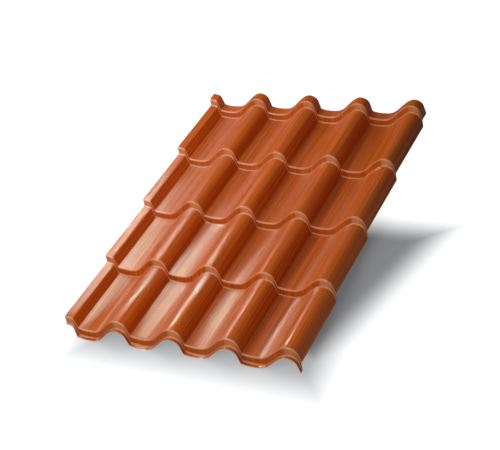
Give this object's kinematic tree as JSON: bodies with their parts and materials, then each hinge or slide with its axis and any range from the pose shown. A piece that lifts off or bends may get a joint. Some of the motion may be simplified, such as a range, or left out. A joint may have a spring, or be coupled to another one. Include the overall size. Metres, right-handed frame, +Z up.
{
  "type": "metal roof tile sheet",
  "caption": "Press-formed painted steel roofing sheet: asymmetric waves with steep flanks, stepped into tile rows, with an underlap hook along the left edge",
  "frame": {"origin": "bottom centre of the sheet's bounding box, on the floor that the pans lie on", "axes": "+Y runs up the roof slope from the eave edge to the ridge end, +X runs across the waves from the underlap hook to the steep covering edge, +Z is up, out of the roof"},
  "size_m": [1.062, 1.475, 0.1173],
  "materials": {
    "painted_steel": "glossy polyester coil coating, terracotta brown"
  },
  "bodies": {
    "root": {"roofing_sheet": "painted_steel"}
  },
  "joints": []
}
